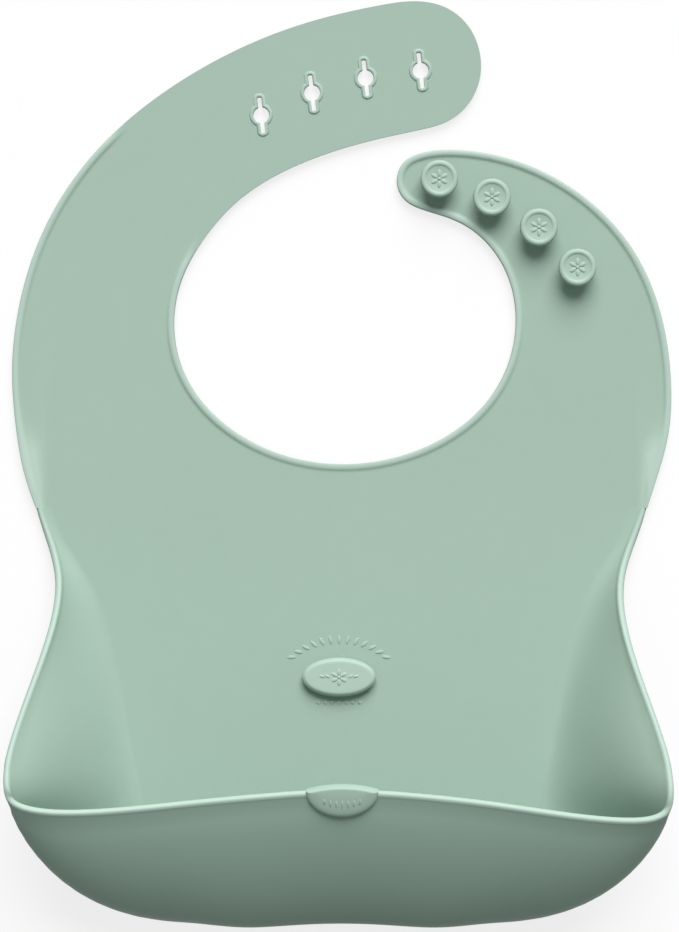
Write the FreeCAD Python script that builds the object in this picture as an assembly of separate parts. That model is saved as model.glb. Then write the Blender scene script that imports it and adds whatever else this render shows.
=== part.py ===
"""Moulded silicone bib, lying on its back: a soft chest sheet with a neck opening, two neck straps that
button together, and an open catch pocket at the foot.

Millimetres. +X is to the right of someone looking at the front, +Y runs from the pocket to the neck and
+Z comes out of the front. The back lies on z = 0, and the origin is at the middle of the outline.
The sheet is one piece of rubber, so it is split where it folds: each fold is a living hinge, a rounded
edge that turns in front of a square one.
"""
import FreeCAD
import Part
import math
import os

V = FreeCAD.Vector

# ---- driving dimensions -------------------------------------------------------------------------
width = 219.4            # across the chest, at its widest
length = 307.2           # from the foot of the pocket to the top of the holed strap
sheet = 2.0              # thickness of the rubber sheet
bead_width = 2.2         # raised edge round the neck and the outer edge
bead_height = 1.1

fold_gap = 0.3           # running gap at each living hinge
bead_relief = 3.0        # how far a bead stops short of a fold
panel_fold_y = -15.0     # chest sheet folds across here
shoulder_fold_y = 45.0   # both straps bend across here
tip_fold_at = (-38.5, 110.8)       # the holed strap bends a second time here
tip_fold_towards = 41.0            # degrees from +X, along the strap
bead_end_at = (-58.5, 94.0)        # the bead on the holed strap runs out here
bead_end_towards = 32.0

pitch = 18.5             # between buttons, and between the holes that they pass
fasteners = 4
button_row = (15.1, 16.7, 79.3, 77.4)      # centre x, y, radius, degrees to the first button
hole_row = (34.6, -1.0, 131.9, 117.7)      # centre x, y, radius, degrees to the first hole
button_head = 12.5       # diameter
button_head_height = 3.6
button_stem = 4.7        # diameter, which passes the hole's round middle
button_stem_height = 3.8
button_edge = 1.1        # rounding of the head
button_dish = 8.6        # diameter of the shallow dish on the head
button_dish_depth = 0.4
hole_clearance = 0.3     # of the hole's round middle over the button's stem
hole_arm_width = 1.4
hole_length = 12.0       # from end to end of the two arms
hole_end_width = 2.0
hole_lean = 7.0          # degrees, of the arms from +Y
collar_width = 1.2
collar_height = 0.7

boss_at = (-0.8, -71.2)  # oval lock boss on the chest
boss_size = (24.5, 13.0)
boss_head_height = 2.2
boss_bevel = 1.0
boss_post_inset = 2.6    # of the post inside the head
boss_post_height = 1.4

front_half_width = 50.0  # half the stretch of pocket front that swings
pocket_foot_y = -138.0   # chest sheet turns up into the pocket here
rim_height = 2.2         # thickened rim, measured up the wall
rim_overhang = 0.5       # of the rim past each face of the wall
rim_seat = 0.02          # between the wall's edge and the rim that sits on it

tab_size = (23.4, 17.8)  # oval grip pad on the front of the lip, of which the lower half shows
tab_thickness = 1.1      # past the rim's front
tab_crown = 0.8          # how far the pad's top arches over the rim
socket_wall = 1.8        # oval ring behind the pad, which snaps over the lock boss
socket_height = 1.8      # past the back of the wall
socket_clearance = 0.3   # of the ring round the boss's post
socket_drop = 0.3        # of the ring below the rim's foot

# ---- the outline, drawn for these sizes and stretched to the ones above ---------------------------
DRAWN_WIDTH = 219.4
DRAWN_LENGTH = 307.2

# From the left end of the chest fold, up the outer edge, round the holed strap's end, back round the
# neck opening, round the buttoned strap's end and down the right edge.
LEFT_EDGE = [(-101.7, -15.0), (-104.9, -5.7), (-108.6, 14.2), (-109.6, 30.9), (-107.2, 52.5), (-100.6, 74.1),
             (-84.3, 100.7), (-53.0, 127.4), (-13.8, 145.8), (12.8, 152.3)]
HOLED_END = [(26.1, 153.6), (34.6, 151.6), (41.6, 146.2), (45.7, 138.0), (46.2, 128.6), (42.9, 120.4),
             (35.8, 114.0), (26.1, 110.9)]
NECK = [(12.8, 108.0), (-13.8, 99.5), (-34.1, 87.5), (-46.1, 74.1), (-53.4, 60.2), (-55.7, 46.5),
        (-53.0, 31.6), (-45.4, 19.2), (-33.6, 9.2), (-17.6, 2.1), (0.5, -0.4), (18.6, 2.0), (34.8, 8.8),
        (47.0, 18.7), (55.2, 32.2), (58.0, 46.9), (55.7, 61.2), (48.9, 72.6), (39.5, 79.9)]
BUTTON_END = [(27.6, 84.1), (21.0, 87.6), (18.4, 93.6), (20.6, 99.9), (27.0, 103.2)]
RIGHT_EDGE = [(39.5, 104.1), (59.4, 100.1), (82.0, 87.5), (97.0, 71.0), (105.6, 52.0), (109.6, 28.0),
              (108.6, 8.6), (105.0, -4.7), (101.7, -15.0)]

# Sections of the pocket wall, from the left end of the chest fold round to the middle of the lip. Each
# is a cubic curve up the outer face: where it leaves the flat sheet (x, y), its foot (x, y), its
# shoulder (x, y, z) and its rim (x, y, z). The right half mirrors them.
WALL_SECTIONS = [
    ((-96.5, -13.0), (-97.8, -13.0), (-99.0, -13.0, 0.3), (-102.3, -13.0, 0.9)),
    ((-91.5, -26.0), (-93.8, -26.0), (-96.0, -26.0, 0.9), (-98.4, -26.0, 3.2)),
    ((-83.5, -39.0), (-88.0, -39.0), (-92.0, -39.0, 3.0), (-95.1, -39.0, 8.0)),
    ((-76.5, -58.0), (-83.5, -58.0), (-90.5, -58.0, 8.5), (-97.7, -58.2, 18.0)),
    ((-72.5, -78.0), (-80.5, -78.0), (-89.0, -78.0, 17.0), (-103.8, -77.3, 29.0)),
    ((-69.0, -97.0), (-77.5, -98.0), (-91.0, -98.0, 26.0), (-109.0, -96.0, 40.0)),
    ((-66.5, -109.0), (-77.0, -112.5), (-97.5, -112.5, 29.0), (-109.3, -103.6, 44.6)),
    ((-63.5, -121.0), (-80.5, -131.5), (-105.5, -129.0, 25.5), (-107.3, -108.6, 45.0)),
    ((-58.4, -129.8), (-77.0, -151.0), (-100.0, -141.5, 25.5), (-101.6, -111.2, 45.0)),
    ((-50.2, -135.4), (-65.0, -163.0), (-85.0, -147.0, 27.0), (-91.0, -112.4, 44.6)),
    ((-38.6, -137.1), (-46.0, -170.5), (-63.0, -143.5, 30.0), (-70.0, -111.5, 43.7)),
    ((-26.0, -137.2), (-30.0, -176.0), (-42.0, -139.0, 31.5), (-48.0, -109.3, 43.0)),
    ((-13.0, -137.2), (-15.0, -176.0), (-21.0, -136.0, 32.0), (-24.0, -107.1, 42.3)),
    ((0.0, -137.2), (0.0, -175.5), (0.0, -134.5, 32.0), (0.0, -105.9, 42.0)),
]
# How far the right half's rim stands further in (x) and lower (y) than the mirrored left one.
RIGHT_RIM_SAG = [(0.0, 0.0), (0.2, 0.0), (1.1, 0.0), (2.4, 0.0), (2.9, 0.0), (2.5, 0.4), (1.9, 1.6),
                 (1.5, 3.0), (1.2, 3.3), (0.6, 2.6), (0.0, 1.4), (0.0, 0.4), (0.0, 0.0), (0.0, 0.0)]
OUTLINE_STEPS = 160      # samples of the outline where another edge runs beside it
WALL_STEPS_ALONG = 61    # samples of the wall's surface along the pocket, and up the wall
WALL_STEPS_UP = 11
FAR = 400.0              # larger than the bib


def placed(x, y):
    """A point of the drawn outline, at the size asked for."""
    return x * width / DRAWN_WIDTH, y * length / DRAWN_LENGTH


def spline(points):
    """An edge through 3-D points."""
    curve = Part.BSplineCurve()
    curve.interpolate(Points=[V(*p) for p in points])
    return curve.toShape()


def prism(wire, bottom, height):
    """A wire in the plane z = 0, as a solid that stands on z = bottom."""
    solid = Part.Face(wire).extrude(V(0, 0, height))
    solid.translate(V(0, 0, bottom))
    return solid


def beyond(at, towards, offset=0.0, span=FAR):
    """A block that holds all that lies more than offset past a line across the sheet.

    The line runs through at, square to the direction towards (degrees from +X), and is span wide.
    """
    block = Part.makeBox(FAR, span, FAR, V(offset, -span / 2, -FAR / 2))
    block.rotate(V(0, 0, 0), V(0, 0, 1), towards)
    block.translate(V(at[0], at[1], 0))
    return block


def knuckle(at, towards):
    """The rounded edge of a living hinge: a bar at mid-thickness along the line through at."""
    bar = Part.makeCylinder(sheet / 2, FAR, V(0, -FAR / 2, sheet / 2), V(0, 1, 0))
    bar.rotate(V(0, 0, 0), V(0, 0, 1), towards)
    bar.translate(V(at[0], at[1], 0))
    return bar


def holding(shape, x, y):
    """The solid of a shape whose box stands round the point (x, y), the smallest if several do."""
    found = [s for s in shape.Solids if s.BoundBox.isInside(V(x, y, s.BoundBox.Center.z))]
    return min(found, key=lambda s: s.BoundBox.DiagonalLength)


def hinged(plate, at, towards, x, y):
    """The part of a plate past a fold, with its rounded edge; (x, y) is a place in it."""
    flap = holding(plate.common(beyond(at, towards)), x, y)
    near = plate.common(knuckle(at, towards))
    edge = [s for s in near.Solids if s.distToShape(flap)[0] < sheet / 10]
    return flap.fuse(edge).removeSplitter()


# ---- flat sheets --------------------------------------------------------------------------------
def outline_wire(inset=0.0):
    """The edge of the chest and straps down to a little below the chest fold, moved in by inset."""
    points = [placed(*p) for p in LEFT_EDGE + HOLED_END + NECK + BUTTON_END + RIGHT_EDGE]
    edge = spline([(x, y, 0) for x, y in points])
    if inset:
        edge = inset_edge(edge, inset)
    first, last = edge.valueAt(edge.FirstParameter), edge.valueAt(edge.LastParameter)
    below = V(0, -bead_relief, 0)
    return Part.Wire([edge] + Part.makePolygon([last, last + below, first + below, first]).Edges)


def inset_edge(edge, inset):
    """A smooth edge that runs beside another, to its right."""
    points = []
    for i in range(OUTLINE_STEPS + 1):
        at = edge.FirstParameter + (edge.LastParameter - edge.FirstParameter) * i / OUTLINE_STEPS
        along = edge.tangentAt(at)
        point = edge.valueAt(at)
        points.append((point.x + along.y * inset, point.y - along.x * inset, 0))
    return spline(points)


PANEL_FOLD = (placed(0, panel_fold_y), 90.0)
SHOULDER_FOLD = (placed(0, shoulder_fold_y), 90.0)
TIP_FOLD = (placed(*tip_fold_at), tip_fold_towards)
BEAD_END = (placed(*bead_end_at), bead_end_towards)
SQUARE_EDGE = sheet / 2 + fold_gap       # from a fold's axis to the square edge that it turns on

LEFT_STRAP_SPOT = placed(-84, 75)
RIGHT_STRAP_SPOT = placed(84, 70)
HOLED_END_SPOT = placed(20, 130)


def split_at_folds(plate, relief):
    """A plate that covers the chest and straps, as {name: solids}, cut back by relief at each fold."""
    upper = plate.common(beyond(*PANEL_FOLD, offset=relief))
    chest = upper.cut(beyond(*SHOULDER_FOLD, offset=-relief))
    straps = upper.common(beyond(*SHOULDER_FOLD, offset=relief))
    left = [s for s in straps.Solids if s.BoundBox.XMin < 0]
    right = [s for s in straps.Solids if s.BoundBox.XMin > 0]
    left = Part.makeCompound(left).cut(beyond(*TIP_FOLD, offset=-relief))
    return {"chest": chest, "left_strap": left, "right_strap": Part.makeCompound(right)}


def sheets():
    """The four flat sheets above the chest fold, each with the rounded edge that it turns on."""
    plate = prism(outline_wire(), 0, sheet)
    upper = plate.common(beyond(*PANEL_FOLD)).fuse(plate.common(knuckle(*PANEL_FOLD))).removeSplitter()
    chest = upper.cut(beyond(*SHOULDER_FOLD, offset=-SQUARE_EDGE))
    left = hinged(upper, *SHOULDER_FOLD, *LEFT_STRAP_SPOT)
    right = hinged(upper, *SHOULDER_FOLD, *RIGHT_STRAP_SPOT)
    end = hinged(left, *TIP_FOLD, *HOLED_END_SPOT)
    left = left.cut(beyond(*TIP_FOLD, offset=-SQUARE_EDGE))
    for hole in keyholes():
        end = end.cut(hole)
    return {"chest_panel": chest, "left_strap": left, "holed_strap_end": end, "button_strap": right}


def beads():
    """The raised edge on the front, which stops short of each fold and runs out on the holed strap."""
    inside = prism(outline_wire(bead_width), 0, 2 * sheet + bead_height)
    ring = prism(outline_wire(), sheet, bead_height).cut(inside)
    parts = split_at_folds(ring, bead_relief)
    left = parts["left_strap"].cut(beyond(*BEAD_END))
    return {"chest_bead": parts["chest"], "left_strap_bead": left, "button_strap_bead": parts["right_strap"]}


# ---- fastening ----------------------------------------------------------------------------------
def row(spec):
    """Places along an arc, one pitch apart, from its first angle clockwise."""
    cx, cy, radius, first = spec
    cx, cy = placed(cx, cy)
    step = math.degrees(pitch / radius)
    angles = [math.radians(first - i * step) for i in range(fasteners)]
    return [(cx + radius * math.cos(a), cy + radius * math.sin(a)) for a in angles]


def keyhole_shape(grow, bottom, height):
    """A round hole with an arm to each side, grown outwards by grow, along +Y about the origin."""
    middle = button_stem / 2 + hole_clearance + grow
    end = hole_end_width / 2 + grow
    reach = hole_length / 2 - hole_end_width / 2
    arm = hole_arm_width / 2 + grow
    shape = Part.makeCylinder(middle, height, V(0, 0, bottom))
    bar = Part.makeBox(2 * arm, 2 * reach, height, V(-arm, -reach, bottom))
    ends = [Part.makeCylinder(end, height, V(0, y, bottom)) for y in (-reach, reach)]
    return shape.fuse([bar] + ends).removeSplitter()


def at_holes(shape):
    """A copy of a shape at each hole of the row."""
    copies = []
    for x, y in row(hole_row):
        copy = shape.copy()
        copy.rotate(V(0, 0, 0), V(0, 0, 1), hole_lean)
        copy.translate(V(x, y, 0))
        copies.append(copy)
    return copies


def keyholes():
    """Cutters for the holes of the holed strap."""
    return at_holes(keyhole_shape(0, -sheet, 3 * sheet))


def collars():
    """The low raised rims round the holes."""
    outer = keyhole_shape(collar_width, sheet, collar_height)
    return at_holes(outer.cut(keyhole_shape(0, 0, 3 * sheet)))


def button():
    """A mushroom button on the axis of z, standing on the sheet."""
    stem = Part.makeCylinder(button_stem / 2, button_stem_height, V(0, 0, sheet))
    under = sheet + button_stem_height
    head = Part.makeCylinder(button_head / 2, button_head_height, V(0, 0, under))
    rims = [e for e in head.Edges if isinstance(e.Curve, Part.Circle)]
    head = head.makeFillet(button_edge, rims)
    top = under + button_head_height
    dish = Part.makeCylinder(button_dish / 2, button_dish_depth, V(0, 0, top - button_dish_depth))
    return stem.fuse(head.cut(dish)).removeSplitter()


def buttons():
    """A button at each place of the row."""
    copies = []
    for x, y in row(button_row):
        copy = button()
        copy.translate(V(x, y, 0))
        copies.append(copy)
    return copies


def oval_wire(size, z):
    """An oval about the axis of z, as a wire."""
    return Part.Wire([Part.Ellipse(V(0, 0, z), size[0] / 2, size[1] / 2).toShape()])


def oval(size, bottom, height):
    """An upright oval block about the axis of z."""
    return prism(oval_wire(size, 0), bottom, height)


def inset_size(size, by):
    """An oval's size with its edge moved in."""
    return size[0] - 2 * by, size[1] - 2 * by


def lock_boss():
    """The undercut oval boss on the chest that the pocket's socket snaps over."""
    post = oval(inset_size(boss_size, boss_post_inset), sheet, boss_post_height)
    under = sheet + boss_post_height
    shoulder = under + boss_head_height - boss_bevel
    head = oval(boss_size, under, boss_head_height - boss_bevel)
    cap = Part.makeLoft([
        oval_wire(boss_size, shoulder),
        oval_wire(inset_size(boss_size, boss_bevel), shoulder + boss_bevel),
    ], True, True)
    boss = post.fuse([head, cap]).removeSplitter()
    boss.translate(V(*placed(*boss_at), 0))
    return boss


# ---- pocket -------------------------------------------------------------------------------------
def wall_section(index, right):
    """The four control points of one section of the wall, up its outer face to where the rim starts."""
    base, foot, shoulder, rim = WALL_SECTIONS[index]
    side, (tuck, drop) = (-1, RIGHT_RIM_SAG[index]) if right else (1, (0.0, 0.0))
    drawn = [(*base, 0), (*foot, 0), (shoulder[0] + tuck, shoulder[1], shoulder[2]),
             (rim[0] + tuck, rim[1] - drop, rim[2])]
    points = [V(*placed(side * x, y), z) for x, y, z in drawn]
    points[3] -= (points[3] - points[2]).normalize() * rim_height
    return points


def wall_sections():
    """All sections of the wall, from the left end of the chest fold round to the right one."""
    middle = len(WALL_SECTIONS) - 1
    left = [wall_section(i, False) for i in range(middle + 1)]
    right = [wall_section(i, True) for i in range(middle)]
    return left + right[::-1]


def rail_curves():
    """Four curves along the wall, through the control points of its sections, with shared knots."""
    sections = wall_sections()
    run = [0.0]
    for one, two in zip(sections, sections[1:]):
        run.append(run[-1] + sum((b - a).Length for a, b in zip(one, two)) / len(one))
    curves = []
    for i in range(4):
        curve = Part.BSplineCurve()
        curve.interpolate(Points=[s[i] for s in sections], Parameters=[r / run[-1] for r in run])
        curves.append(curve)
    return curves


def outer_surface(curves):
    """The wall's outer face: a cubic section that runs along the four rails."""
    surface = Part.BSplineSurface()
    surface.buildFromPolesMultsKnots(
        [c.getPoles() for c in curves], [4, 4], curves[0].getMultiplicities(),
        [0, 1], curves[0].getKnots(), False, False, 3, curves[0].Degree)
    return surface


def outward(surface, up, along):
    """The unit normal that points out of the pocket."""
    step = 1e-4
    rise = surface.value(min(1, up + step), along) - surface.value(max(0, up - step), along)
    run = surface.value(up, min(1, along + step)) - surface.value(up, max(0, along - step))
    return run.cross(rise).normalize()


def offset_grid(surface, ups, by):
    """Points that lie by from a surface along its normal, in rows up the wall."""
    alongs = [i / (WALL_STEPS_ALONG - 1) for i in range(WALL_STEPS_ALONG)]
    return [[surface.value(u, a) + outward(surface, u, a) * by for a in alongs] for u in ups]


def surface_through(grid):
    """A smooth surface through rows of points."""
    surface = Part.BSplineSurface()
    surface.interpolate(grid)
    return surface


def solid_between(one, two):
    """A closed solid between two surfaces that face each other."""
    faces = [one.toShape(), two.toShape()]
    borders = []
    for s in (one, two):
        u0, u1, v0, v1 = s.bounds()
        borders.append([s.uIso(u0), s.uIso(u1), s.vIso(v0), s.vIso(v1)])
    for a, b in zip(*borders):
        faces.append(Part.makeRuledSurface(a.toShape(), b.toShape()))
    shell = Part.makeShell(faces)
    shell.sewShape()
    solid = Part.makeSolid(shell)
    solid.fix(1e-4, 1e-6, 1e-3)
    return solid if solid.Volume > 0 else solid.reversed()


def pocket():
    """The wall round the pocket, and the thickened rim on its edge, each as one long solid."""
    surface = outer_surface(rail_curves())
    ups = [i / (WALL_STEPS_UP - 1) for i in range(WALL_STEPS_UP)]
    wall = solid_between(surface_through(offset_grid(surface, ups, 0)),
                         surface_through(offset_grid(surface, ups, -sheet)))
    step = 1e-3
    grids = [offset_grid(surface, [1 - step, 1], by) for by in (rim_overhang, -sheet - rim_overhang)]
    for grid in grids:
        edges = [(p, (p - q).normalize()) for q, p in zip(*grid)]
        grid[:] = [[p + up * rim_height for p, up in edges], [p + up * rim_seat for p, up in edges]]
    return wall, solid_between(*(surface_through(grid) for grid in grids))


FOOT_FOLD = (placed(0, pocket_foot_y), -90.0)
MIDDLE = 0.5             # along the wall's rails


def on_lip(block):
    """A block drawn about the origin, moved to the middle of the lip.

    Its X stays, its Y runs up the wall to the rim's free edge, and its Z points out of the pocket from
    the wall's outer face.
    """
    surface = outer_surface(rail_curves())
    edge = surface.value(1, MIDDLE)
    up = (edge - surface.value(1 - 1e-3, MIDDLE)).normalize()
    across = up.cross(outward(surface, 1, MIDDLE)).normalize()
    turn = FreeCAD.Rotation(across, up, across.cross(up))
    block = block.copy()
    block.Placement = FreeCAD.Placement(edge + up * rim_height, turn).multiply(block.Placement)
    return block


def grip_pad(wall, rim):
    """The lower half of an oval pad on the front of the lip, and its low crown over the rim."""
    front = rim_overhang + tab_thickness
    block = oval(tab_size, -sheet / 2, sheet / 2 + front)
    above = Part.makeBox(FAR, FAR, FAR, V(-FAR / 2, 0, -FAR / 2))
    crown = oval((tab_size[0], 2 * tab_crown), -sheet - rim_overhang, sheet + rim_overhang + front)
    return on_lip(block.cut(above).fuse(crown.common(above))).cut(wall).cut(rim)


def lock_socket(wall):
    """The oval ring behind the pad, whose opening fits the post of the lock boss."""
    hole = inset_size(inset_size(boss_size, boss_post_inset), -socket_clearance)
    outside = inset_size(hole, -socket_wall)
    depth = sheet / 2 + socket_height
    ring = oval(outside, -sheet - socket_height, depth).cut(oval(hole, -2 * depth, 4 * depth))
    ring.translate(V(0, -outside[1] / 2 - rim_height - socket_drop, 0))
    return on_lip(ring).cut(wall)


def pocket_parts():
    """The swinging front, its rim, pad and socket, and the two side walls with their rims."""
    wall, rim = pocket()
    middle = Part.makeBox(2 * front_half_width, FAR, FAR, V(-front_half_width, -FAR, -FAR / 2))
    wide = Part.makeBox(2 * (front_half_width + fold_gap), FAR, FAR,
                        V(-front_half_width - fold_gap, -FAR, -FAR / 2))
    behind = beyond(FOOT_FOLD[0], -FOOT_FOLD[1])
    behind.translate(V(0, 0, 2 * sheet - FAR / 2))
    front = wall.common(middle).cut(behind).fuse(knuckle(*FOOT_FOLD).common(middle))
    lip = rim.common(middle)
    parts = {"pocket_front": front, "lip_rim": lip, "lip_tab": grip_pad(front, lip),
             "lock_socket": lock_socket(front)}
    for name, shape, relief in (("side_wall", wall, SQUARE_EDGE), ("side_rim", rim, bead_relief)):
        sides = shape.cut(wide).cut(beyond(*PANEL_FOLD, offset=-relief))
        for side in sides.Solids:
            where = "left" if side.BoundBox.Center.x < 0 else "right"
            parts[f"{where}_{name}"] = side
    return parts


def lower_panel():
    """The flat chest sheet between the chest fold and the foot of the pocket."""
    base = rail_curves()[0].toShape()
    ends = [v.Point for v in base.Vertexes]
    plate = prism(Part.Wire([base, Part.makeLine(*ends)]), 0, sheet)
    slot = beyond(*FOOT_FOLD, offset=-SQUARE_EDGE, span=2 * (front_half_width + fold_gap))
    return plate.cut(slot).cut(beyond(*PANEL_FOLD, offset=-SQUARE_EDGE))


def nodes():
    """Every sub-part by name."""
    parts = {"lower_panel": lower_panel(), **sheets(), **beads(), **pocket_parts(), "lock_boss": lock_boss()}
    for i, (one_button, collar) in enumerate(zip(buttons(), collars()), 1):
        parts[f"button_{i}"] = one_button
        parts[f"hole_collar_{i}"] = collar
    return parts


if __name__ == "__main__":
    os.makedirs("parts", exist_ok=True)
    for name, shape in nodes().items():
        shape.exportStep(f"parts/{name}.step")
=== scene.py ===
# %% [markdown]
# # A silicone bib
# A catch-all bib is one moulding of soft silicone rubber: a thin sheet with a raised edge, two straps
# that button together behind the neck, and a pocket at the foot. The rubber bends anywhere, but a rigid
# model needs joints, so the sheet is modelled in a few skins, each finely cut across one joint.
# The imported model is the fixed frame that every piece here is fitted to, so it is loaded first.

# %% Load the frame
import math

import bmesh
import bpy
import numpy as np
from mathutils import Matrix, Vector


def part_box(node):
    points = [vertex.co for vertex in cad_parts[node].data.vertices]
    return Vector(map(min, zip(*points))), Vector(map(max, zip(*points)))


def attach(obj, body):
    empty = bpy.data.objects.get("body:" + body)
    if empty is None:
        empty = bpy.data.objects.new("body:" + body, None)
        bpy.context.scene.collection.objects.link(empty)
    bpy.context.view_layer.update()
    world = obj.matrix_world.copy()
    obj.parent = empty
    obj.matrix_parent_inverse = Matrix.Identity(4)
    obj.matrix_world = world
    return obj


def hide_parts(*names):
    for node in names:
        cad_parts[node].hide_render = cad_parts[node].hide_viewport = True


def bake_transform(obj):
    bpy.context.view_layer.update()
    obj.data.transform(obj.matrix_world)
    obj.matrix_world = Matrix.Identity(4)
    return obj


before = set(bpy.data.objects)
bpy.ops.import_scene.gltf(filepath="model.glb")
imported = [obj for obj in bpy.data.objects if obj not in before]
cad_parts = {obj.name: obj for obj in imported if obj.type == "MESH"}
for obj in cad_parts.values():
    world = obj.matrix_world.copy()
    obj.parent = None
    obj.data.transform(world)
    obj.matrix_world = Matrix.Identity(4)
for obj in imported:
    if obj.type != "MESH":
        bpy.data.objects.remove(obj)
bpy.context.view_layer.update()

# %% [markdown]
# ## Units and a few helpers
# The measures of a moulding are easiest to read in millimetres, so every mesh is drawn in millimetres
# and made smaller by a thousand when it becomes an object. Scaling the object instead would leave its
# size in a setting that the export drops, so the size goes into the mesh.

# %% Turn a bmesh into a finished object
MM = 0.001
SOFT_ANGLE = math.radians(38)    # edges that turn less than this look rounded


def make_piece(bm, name, material):
    """A closed bmesh in millimetres, as a smooth object in metres with its place in its mesh."""
    bmesh.ops.remove_doubles(bm, verts=bm.verts, dist=0.0005)
    bmesh.ops.scale(bm, vec=(MM, MM, MM), verts=bm.verts)
    bmesh.ops.recalc_face_normals(bm, faces=bm.faces)
    for face in bm.faces:
        face.smooth = True
    open_edges = sum(1 for edge in bm.edges if not edge.is_manifold)
    mesh = bpy.data.meshes.new(name)
    bm.to_mesh(mesh)
    bm.free()
    mesh.set_sharp_from_angle(angle=SOFT_ANGLE)
    mesh.materials.append(material)
    piece = bpy.data.objects.new(name, mesh)
    bpy.context.scene.collection.objects.link(piece)
    print(f"{name}: {len(mesh.polygons)} faces, {open_edges} open edges")
    return piece


def ease(value, start, end):
    """0 before start, 1 after end, and a smooth rise between them."""
    t = min(1.0, max(0.0, (value - start) / (end - start)))
    return t * t * (3 - 2 * t)


# %% [markdown]
# ## Shader maths that reads like arithmetic
# A material in Blender is a graph of nodes, and a sum of three terms is already four of them. A small
# class that wraps a socket and overloads Python's operators lets a pattern be written as a formula, and
# adds the Math nodes itself. Any other node comes from one method that takes its type and its settings.

# %% Nodes by formula
class Wire:
    """A number that comes out of a node."""

    def __init__(self, recipe, socket):
        self.recipe, self.socket = recipe, socket

    def sum_up(self, operation, first, second):
        return self.recipe.node("ShaderNodeMath", {"operation": operation}, {0: first, 1: second})

    def __add__(self, other):
        return self.sum_up("ADD", self, other)

    def __sub__(self, other):
        return self.sum_up("SUBTRACT", self, other)

    def __rsub__(self, other):
        return self.sum_up("SUBTRACT", other, self)

    def __mul__(self, other):
        return self.sum_up("MULTIPLY", self, other)

    __radd__, __rmul__ = __add__, __mul__


class Recipe:
    """A new material, or the world, and the nodes in it."""

    def __init__(self, name, owner=None):
        self.owner = owner or bpy.data.materials.new(name)
        self.owner.use_nodes = True
        self.tree = self.owner.node_tree
        self.tree.nodes.clear()

    def node(self, kind, settings=None, inputs=None, output=0):
        """Adds a node, applies its settings, then sets or links its sockets."""
        made = self.tree.nodes.new(kind)
        for key, value in (settings or {}).items():
            setattr(made, key, value)
        for key, value in (inputs or {}).items():
            if isinstance(value, Wire):
                self.tree.links.new(value.socket, made.inputs[key])
            else:
                made.inputs[key].default_value = value
        return Wire(self, made.outputs[output]) if made.outputs else None

    def noise(self, place, scale, detail):
        return self.node("ShaderNodeTexNoise", {}, {"Vector": place, "Scale": scale, "Detail": detail})

    def blend_colours(self, share, first, second):
        """One colour shading into another."""
        return self.node("ShaderNodeMix", {"data_type": "RGBA"}, {0: share, 6: first, 7: second}, output=2)


# %% [markdown]
# ## Silicone
# Moulded silicone is matte and a little waxy. It is never one flat colour: the pigment drifts slightly
# over a hand's width, and the mould leaves a very fine grain. The raised edges and tops are painted paler,
# which is a painted highlight, and they are a little smoother where they get rubbed. The patterns read Object
# coordinates, so they stay where they are on the rubber, and each piece carries an attribute that is 1 where
# the highlight is painted.

# %% Mix the rubber
# SAGE_PALE is the colour of the painted highlight, and of faint dust
SAGE = (0.364, 0.486, 0.418)
SAGE_DEEP = (0.350, 0.471, 0.404)
SAGE_PALE = (0.560, 0.700, 0.620)


def silicone(name, roughness, grain_depth, edge_highlight):
    """A matte green rubber, with its mean roughness, the depth of its grain and the strength of the painted
    highlight on its edges.
    """
    mix = Recipe(name)
    place = mix.node("ShaderNodeTexCoord", output=3)
    drift = mix.noise(place, 14.0, 3.0)
    grain = mix.noise(place, 2200.0, 2.0)
    dust = mix.noise(place, 160.0, 4.0)
    highlight_and_wear = mix.node("ShaderNodeAttribute", {"attribute_name": "highlight_and_wear"}, output=2)
    tone = mix.blend_colours(drift, (*SAGE_DEEP, 1), (*SAGE, 1))
    # painted highlight: the marked edges and tops are blended towards pale sage, with a trace of random dust
    tone = mix.blend_colours(highlight_and_wear * edge_highlight + dust * dust * 0.05, tone, (*SAGE_PALE, 1))
    # the same marks are a little less rough, as wear
    dull = roughness + (drift - 0.5) * 0.12 + (grain - 0.5) * 0.10 - highlight_and_wear * 0.06
    bump = mix.node("ShaderNodeBump", {}, {"Strength": 0.5, "Distance": grain_depth * MM,
                                           "Height": grain * 0.7 + dust * 0.3})
    shader = mix.node("ShaderNodeBsdfPrincipled", {}, {
        "Base Color": tone, "Roughness": dull, "Normal": bump, "IOR": 1.41, "Specular IOR Level": 0.22})
    mix.node("ShaderNodeOutputMaterial", {}, {"Surface": shader})
    return mix.owner


sheet_rubber = silicone("sheet rubber", 0.56, 0.05, 0.42)
pocket_rubber = silicone("pocket rubber", 0.52, 0.05, 0.45)
fastener_rubber = silicone("fastener rubber", 0.46, 0.03, 0.30)
print("mixed", sheet_rubber.name, pocket_rubber.name, fastener_rubber.name)

# %% [markdown]
# ## A smooth line through a few points
# The edge of the bib is one flowing line. A curve object with automatic handles would pass through the
# same points, but it swells a little between them, and a long highlight on a raised edge shows every
# swell. The natural cubic spline is the calmest curve that passes through all its points, and needs
# only one small set of equations.

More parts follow.
